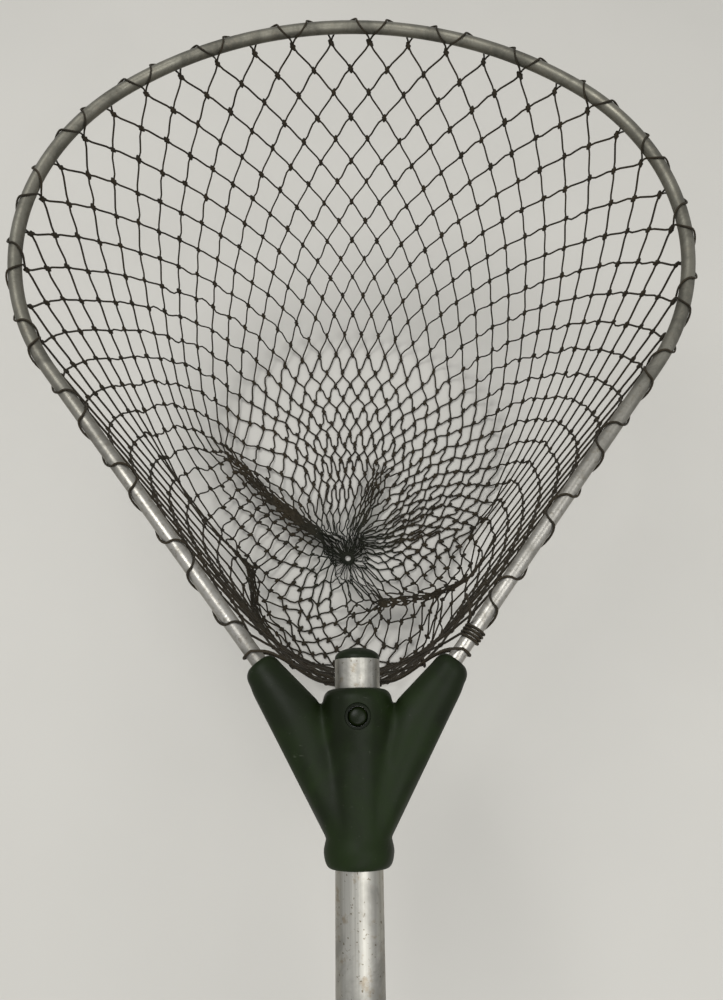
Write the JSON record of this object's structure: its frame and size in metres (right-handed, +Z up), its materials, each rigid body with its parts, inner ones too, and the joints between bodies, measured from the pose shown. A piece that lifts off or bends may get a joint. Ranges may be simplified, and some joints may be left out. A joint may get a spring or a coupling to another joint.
{
  "type": "landing net",
  "caption": "Landing net: a teardrop tube hoop in a moulded yoke that slides along a round handle and locks with a snap button, with a knotted mesh bag drawn together at its bottom.",
  "frame": {"origin": "on the handle's axis at the middle of the grip, where the hand holds it", "axes": "+Y along the handle towards the hoop's tip, +Z up out of the net's mouth, +X to the right seen from above with the tip away"},
  "size_m": [0.4116, 1.011, 0.255],
  "materials": {
    "tube_aluminium": "satin drawn tube, smudged",
    "hoop_aluminium": "dull weathered tube",
    "green_plastic": "very dark green, slightly glossy moulding",
    "grip_plastic": "very dark green, matt",
    "spring_steel": "bare spring strip",
    "net_twine": "dark olive-brown knotted nylon",
    "cord_twine": "dark olive-brown twisted nylon"
  },
  "bodies": {
    "handle": {"handle_tube": "tube_aluminium", "tube_end_plug": "green_plastic", "grip": "grip_plastic", "grip_cap": "green_plastic", "button_spring": "spring_steel"},
    "button": {"lock_button": "green_plastic"},
    "head": {"yoke": "green_plastic", "hoop": "hoop_aluminium", "net_bag": "net_twine", "gather_cord": "cord_twine", "throat_cord": "cord_twine", "arm_lashing": "cord_twine"}
  },
  "joints": [
    {"name": "head_slide", "type": "slide", "parent": "handle", "child": "head", "axis": [0, 1, 0], "range_m": [-0.368, 0]},
    {"name": "button_press", "type": "slide", "parent": "handle", "child": "button", "axis": [0, 0, -1], "range_m": [0, 0.0042], "stiffness_N_per_m": 1500, "springref_m": -0.002, "deforming": ["button_spring"]}
  ]
}
